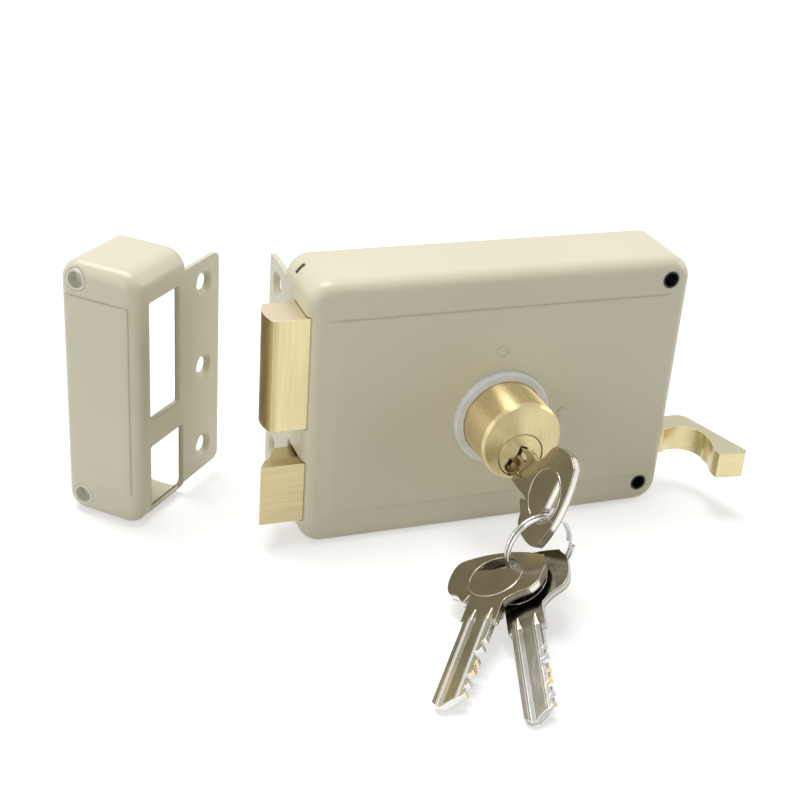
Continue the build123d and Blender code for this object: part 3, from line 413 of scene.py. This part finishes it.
def key_nickel(name, shade):
    """Nickel plate: milled lengthwise on the blade, bright at edges, partly from wear and partly as a
    painted highlight, with a painted highlight in the grooves, and brassy at the cuts.

    The shade is a painted shade: it multiplies the tones of the flats and of the grooves, so that a key
    turned away from the light is a darker copy of the same nickel.
    """
    flats = [tuple(shade * v for v in tone) for tone in ((0.35, 0.315, 0.235), (0.41, 0.37, 0.285))]
    groove_highlight_tone = tuple(shade * v for v in (0.84, 0.83, 0.80))
    milled_tone, edge_wear_and_highlight_tone, brass_tone = (0.70, 0.69, 0.64), (0.90, 0.89, 0.85), (0.80, 0.62, 0.22)
    sheen, bow_wear_and_highlight, blade_wear_and_highlight = (0.12, 0.20), 0.25, 0.9
    f = Finish("nickel_" + name)
    f.set(Metallic=1.0)
    turn, start = key_frame(name)
    own = f.add("Mapping")
    own.vector_type = "POINT"
    own.inputs["Rotation"].default_value = turn.to_euler()
    own.inputs["Location"].default_value = -start
    f.join(f.place, own.inputs["Vector"])
    f.place = own.outputs[0]
    along, across, through = f.parts(f.place)
    soft = f.softened()
    edge = f.edge_of(soft)
    blade = f.ramp(along, BLADE_LONG + BLADE_FADE, BLADE_LONG)
    bow = f.math("SUBTRACT", 1.0, blade)
    depth = f.math("ADD", f.math("ABSOLUTE", through), f.times(bow, BOW_MARGIN))
    groove = f.ramp(depth, *GROOVE_DEPTHS)
    milled = f.noise(f.mapped((150, 7000, 150)), 3.0, 0.6)
    scuff = f.even_noise(500, 4.0, 0.6)
    cloud = f.even_noise(110)
    tone = f.blend(f.ramp(cloud, *NOISE_MIDDLE), *flats)
    tone = f.blend(f.times(f.ramp(milled, *NOISE_MIDDLE), blade, 0.22), tone, milled_tone)
    # Painted highlight: the grooves are blended bright.
    tone = f.blend(f.times(groove, 0.85), tone, groove_highlight_tone)
    # Painted highlight, partly wear: the edges are blended bright, more on the blade than on the bow.
    tone = f.blend(f.times(edge, f.ramp(blade, 0.0, 1.0, bow_wear_and_highlight, blade_wear_and_highlight)), tone, edge_wear_and_highlight_tone)
    cut = f.times(f.ramp(across, *CUT_REACH), blade, f.math("MAXIMUM", groove, edge))
    tone = f.blend(f.times(cut, f.ramp(cloud, 0.42, 0.56), 0.75), tone, brass_tone)
    rough = f.ramp(scuff, *NOISE_RANGE, *sheen)
    lines = f.math("ADD", f.times(milled, blade, 0.8), f.times(scuff, 0.2))
    return f.finish(tone, rough, f.bump(lines, 0.01 * MM, 0.35, soft))


def bright_wire():
    """Plated spring wire: bright and a little worn."""
    worn, bright, sheen = (0.52, 0.51, 0.50), (0.72, 0.71, 0.70), (0.16, 0.28)
    f = Finish("bright_wire")
    f.set(Metallic=1.0)
    scuff = f.even_noise(700, 4.0, 0.6)
    tone = f.blend(f.ramp(scuff, *NOISE_RANGE), worn, bright)
    rough = f.ramp(scuff, *NOISE_RANGE, *sheen)
    return f.finish(tone, rough, f.bump(scuff, 0.01 * MM, 0.3))


def zinc_plate(name="zinc_plate", tabs=None):
    """Bright zinc on steel: a cool grey with cloudy spangle.

    The back plate's tabs, seen in the case's corner slits, are painted dark as shade inside the case.
    They are where the shares of the half width and half height from the plate's middle add up to nearly
    2.
    """
    grey, pale, edge_wear_and_highlight = (0.54, 0.54, 0.52), (0.62, 0.62, 0.60), (0.80, 0.80, 0.78)
    sheen = 0.32, 0.42
    f = Finish(name)
    f.set(Metallic=1.0)
    soft = f.softened()
    spangle = f.even_noise(420, 4.0, 0.6)
    tone = f.blend(f.ramp(spangle, *NOISE_RANGE), grey, pale)
    # Painted highlight, partly wear: the edges are blended paler.
    tone = f.blend(f.times(f.edge_of(soft), 0.6), tone, edge_wear_and_highlight)
    if tabs:
        low, high = tabs
        place = f.parts(f.mapped(move=tuple(-(low + high) / 2)))
        half = (high - low) / 2
        shares = [f.math("DIVIDE", f.math("ABSOLUTE", place[axis]), size)
                  for axis, size in (("X", half.x), ("Z", half.z))]
        # Painted shade: the tabs seen in the corner slits are darkened.
        tone = f.blend(f.ramp(f.math("ADD", *shares), *TAB_SHARES), tone, TAB_SHADE)
    rough = f.ramp(spangle, *NOISE_RANGE, *sheen)
    return f.finish(tone, rough, f.bump(spangle, 0.01 * MM, 0.3, soft))


def moulded_plastic(name, dark, light, sheen):
    """Moulded plastic with a faint mould grain."""
    f = Finish(name)
    f.set(Subsurface_Weight=0.1, Subsurface_Radius=(MM, MM, MM))
    grain = f.even_noise(1500)
    tone = f.blend(f.ramp(f.even_noise(150), *NOISE_MIDDLE), dark, light)
    rough = f.ramp(grain, *NOISE_RANGE, *sheen)
    return f.finish(tone, rough, f.bump(grain, 0.02 * MM, 0.3, f.softened()))


def dress(names, material):
    """Gives CAD nodes a material in every slot."""
    for name in names:
        mesh = nodes[name].data
        if not mesh.materials:
            mesh.materials.append(material)
        for index in range(len(mesh.materials)):
            mesh.materials[index] = material


def coil_spring(node, along, wire, turns):
    """A coil in a node's place, as a grid of u along the wire and v round it.

    The wire's middle is the spring's axis point at u, plus the coil's radius at the angle of
    u turns. The surface is that middle plus half the wire's width at angle v, in the plane of
    the coil's radius and of the cross product of the wire's run with it.
    """
    low, high = (np.array(corner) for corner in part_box(node))
    side, other = (along + 1) % 3, (along + 2) % 3
    radius = (high[side] - low[side] - wire) / 2
    rise = high[along] - low[along] - wire
    u = np.linspace(0, 1, turns * COIL_STEPS + 1)[:, None, None]
    v = np.linspace(0, math.tau, WIRE_SIDES, endpoint=False)[None, :, None]
    axes = np.eye(3)
    angle = math.tau * turns * u
    out = np.cos(angle) * axes[side] + np.sin(angle) * axes[other]
    round_way = np.cos(angle) * axes[other] - np.sin(angle) * axes[side]
    run = math.tau * turns * radius * round_way + rise * axes[along]
    across = np.cross(run / np.linalg.norm(run, axis=2, keepdims=True), out)
    middle = (low + high) / 2 + (u - 0.5) * rise * axes[along] + radius * out
    points = middle + wire / 2 * (np.cos(v) * out + np.sin(v) * across)
    index = np.arange(len(u) * WIRE_SIDES).reshape(-1, WIRE_SIDES)
    after = np.roll(index, -1, axis=1)
    walls = np.stack([index[:-1], index[1:], after[1:], after[:-1]], axis=-1).reshape(-1, 4)
    ends = [index[0].tolist(), index[-1][::-1].tolist()]
    mesh = bpy.data.meshes.new(node + "_coil")
    mesh.from_pydata(points.reshape(-1, 3).tolist(), [], walls.tolist() + ends)
    mesh.shade_smooth()
    piece = bpy.data.objects.new(node + "_coil", mesh)
    bpy.context.scene.collection.objects.link(piece)
    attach(piece, "root")
    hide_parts(node)
    return piece


def add_springs(material):
    """The two springs that a joint squeezes, each as an even coil in its part's place."""
    latch = coil_spring("latch_spring", 0, LATCH_WIRE, LATCH_TURNS)
    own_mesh(latch)
    detent = coil_spring("detent_spring", 2, DETENT_WIRE, DETENT_TURNS)
    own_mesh(detent)
    for piece in (latch, detent):
        piece.data.materials.append(material)


def dress_brass():
    """The bolts and the handle, with streaks the way each was drawn, and the turned pieces."""
    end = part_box("deadbolt")[0].x
    # In each call, the tone after the two streak tones is painted light and shade for the upward faces.
    dress(["deadbolt"], brushed_brass(
        "brass_upright", (2600, 2600, 45), (0.78, 0.69, 0.42), (0.69, 0.59, 0.32),
        (0.70, 0.61, 0.43), (end, end + NOSE_LONG)))
    dress(["latch_bolt"], brushed_brass(
        "brass_level", (45, 2600, 2600), (0.60, 0.51, 0.30), (0.50, 0.42, 0.23), (0.60, 0.49, 0.26)))
    dress(["pull_handle"], brushed_brass(
        "brass_handle", (45, 300, 2600), (0.76, 0.67, 0.41), (0.66, 0.56, 0.30), (0.57, 0.52, 0.36)))
    dress([
        "cylinder_body", "cylinder_plug", "cylinder_nut", "key_pins", "driver_pins", "chamber_plugs",
    ], turned_brass())


def dress_plastic():
    """The cylinder's ring, the keeper's milky cups, and the sleeves, near black as painted shade in the
    fixing holes.
    """
    dress(["cylinder_ring"], moulded_plastic(
        "ring_plastic", (0.70, 0.71, 0.72), (0.80, 0.81, 0.82), (0.3, 0.45)))
    dress(["keeper_screw_caps"], moulded_plastic(
        "cap_plastic", (0.78, 0.76, 0.66), (0.86, 0.84, 0.75), (0.25, 0.4)))
    # Painted shade: the sleeves are near black so that the fixing holes read dark.
    dress(["fixing_sleeves"], moulded_plastic(
        "sleeve_shade_black", (0.006, 0.006, 0.006), (0.012, 0.012, 0.012), (0.3, 0.45)))


def dress_all():
    # Painted shade: the three keys are one nickel in three shades, darkest for loose_key_b, as each
    # turns another face to the light.
    for key, shade in (("inserted_key", 1.0), ("loose_key_a", 0.95), ("loose_key_b", 0.60)):
        dress([key], key_nickel(key, shade))
    dress(["case_shell", "keeper_shell"], cream_paint())
    dress_brass()
    dress(["key_ring"], bright_wire())
    dress_plastic()
    dress([
        "plate_studs", "plate_screws", "guide_post", "detent_pivot",
        "latch_guide_post", "spring_stop", "deadbolt_tail", "tail_rivets",
        "latch_bar", "latch_rivet", "handle_rivet", "plug_cam", "cam_screws", "detent_lever",
        "pin_springs",
    ], zinc_plate())
    dress(["back_plate"], zinc_plate("plate_zinc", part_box("back_plate")))


def seen_ray(tree):
    """One for a ray from the eye, off a mirror or through clear plastic, and nought for others."""
    path = tree.nodes.new("ShaderNodeLightPath")
    seen = path.outputs["Is Camera Ray"]
    for name in ("Is Glossy Ray", "Is Transmission Ray"):
        both = tree.nodes.new("ShaderNodeMath")
        both.operation = "MAXIMUM"
        tree.links.new(seen, both.inputs[0])
        tree.links.new(path.outputs[name], both.inputs[1])
        seen = both.outputs[0]
    return seen


def camera_white(tree, base):
    """Adds white that only the eye, mirrors and clear plastic see, more of it far from the lamps."""
    spot = tree.nodes.new("ShaderNodeTexCoord")
    reach = tree.nodes.new("ShaderNodeVectorMath")
    reach.operation = "LENGTH"
    tree.links.new(spot.outputs["Object"], reach.inputs[0])
    amount = tree.nodes.new("ShaderNodeMapRange")
    for name, number in zip(("From Min", "From Max", "To Min", "To Max"), WHITE_SPREAD):
        amount.inputs[name].default_value = number
    tree.links.new(reach.outputs["Value"], amount.inputs["Value"])
    strength = tree.nodes.new("ShaderNodeMath")
    strength.operation = "MULTIPLY"
    tree.links.new(amount.outputs[0], strength.inputs[1])
    tree.links.new(seen_ray(tree), strength.inputs[0])
    glow = tree.nodes.new("ShaderNodeEmission")
    tree.links.new(strength.outputs[0], glow.inputs["Strength"])
    total = tree.nodes.new("ShaderNodeAddShader")
    tree.links.new(base, total.inputs[0])
    tree.links.new(glow.outputs[0], total.inputs[1])
    return total.outputs[0]


def add_floor():
    """A wide white table top, which keeps the shadows and reads white to the eye."""
    corners = [(x * FLOOR_REACH, y * FLOOR_REACH, 0) for x, y in ((-1, -1), (1, -1), (1, 1), (-1, 1))]
    mesh = bpy.data.meshes.new("floor")
    mesh.from_pydata(corners, [], [(0, 1, 2, 3)])
    floor = bpy.data.objects.new("floor", mesh)
    bpy.context.scene.collection.objects.link(floor)
    material = bpy.data.materials.new("table_white")
    material.use_nodes = True
    tree = material.node_tree
    tree.nodes.clear()
    output = tree.nodes.new("ShaderNodeOutputMaterial")
    diffuse = tree.nodes.new("ShaderNodeBsdfDiffuse")
    diffuse.inputs["Color"].default_value = (FLOOR_TONE, FLOOR_TONE, FLOOR_TONE, 1)
    tree.links.new(camera_white(tree, diffuse.outputs[0]), output.inputs[0])
    mesh.materials.append(material)


def add_world():
    """White to the eye and to mirrors, and a dimmer even fill for the rest."""
    world = bpy.data.worlds.new("studio")
    bpy.context.scene.world = world
    world.use_nodes = True
    tree = world.node_tree
    tree.nodes.clear()
    mix = tree.nodes.new("ShaderNodeMixShader")
    tree.links.new(seen_ray(tree), mix.inputs[0])
    for slot, level in ((1, FILL_LEVEL), (2, WHITE_LEVEL)):
        light = tree.nodes.new("ShaderNodeBackground")
        light.inputs["Color"].default_value = (1, 1, 1, 1)
        light.inputs["Strength"].default_value = level
        tree.links.new(light.outputs[0], mix.inputs[slot])
    output = tree.nodes.new("ShaderNodeOutputWorld")
    tree.links.new(mix.outputs[0], output.inputs[0])


def add_lamps():
    """Soft rectangular lamps, each turned to the target."""
    for name, (place, size, power) in LAMPS.items():
        data = bpy.data.lights.new(name, "AREA")
        data.shape = "RECTANGLE"
        data.size, data.size_y = size
        data.energy = power
        lamp = bpy.data.objects.new(name, data)
        turn = (Vector(LAMP_TARGET) - Vector(place)).to_track_quat("-Z", "Y").to_matrix().to_4x4()
        lamp.matrix_world = Matrix.Translation(place) @ turn
        bpy.context.scene.collection.objects.link(lamp)


add_camera()
add_floor()
add_world()
add_lamps()
dress_all()
add_springs(zinc_plate("spring_zinc"))

bpy.context.scene.view_settings.view_transform = "Standard"
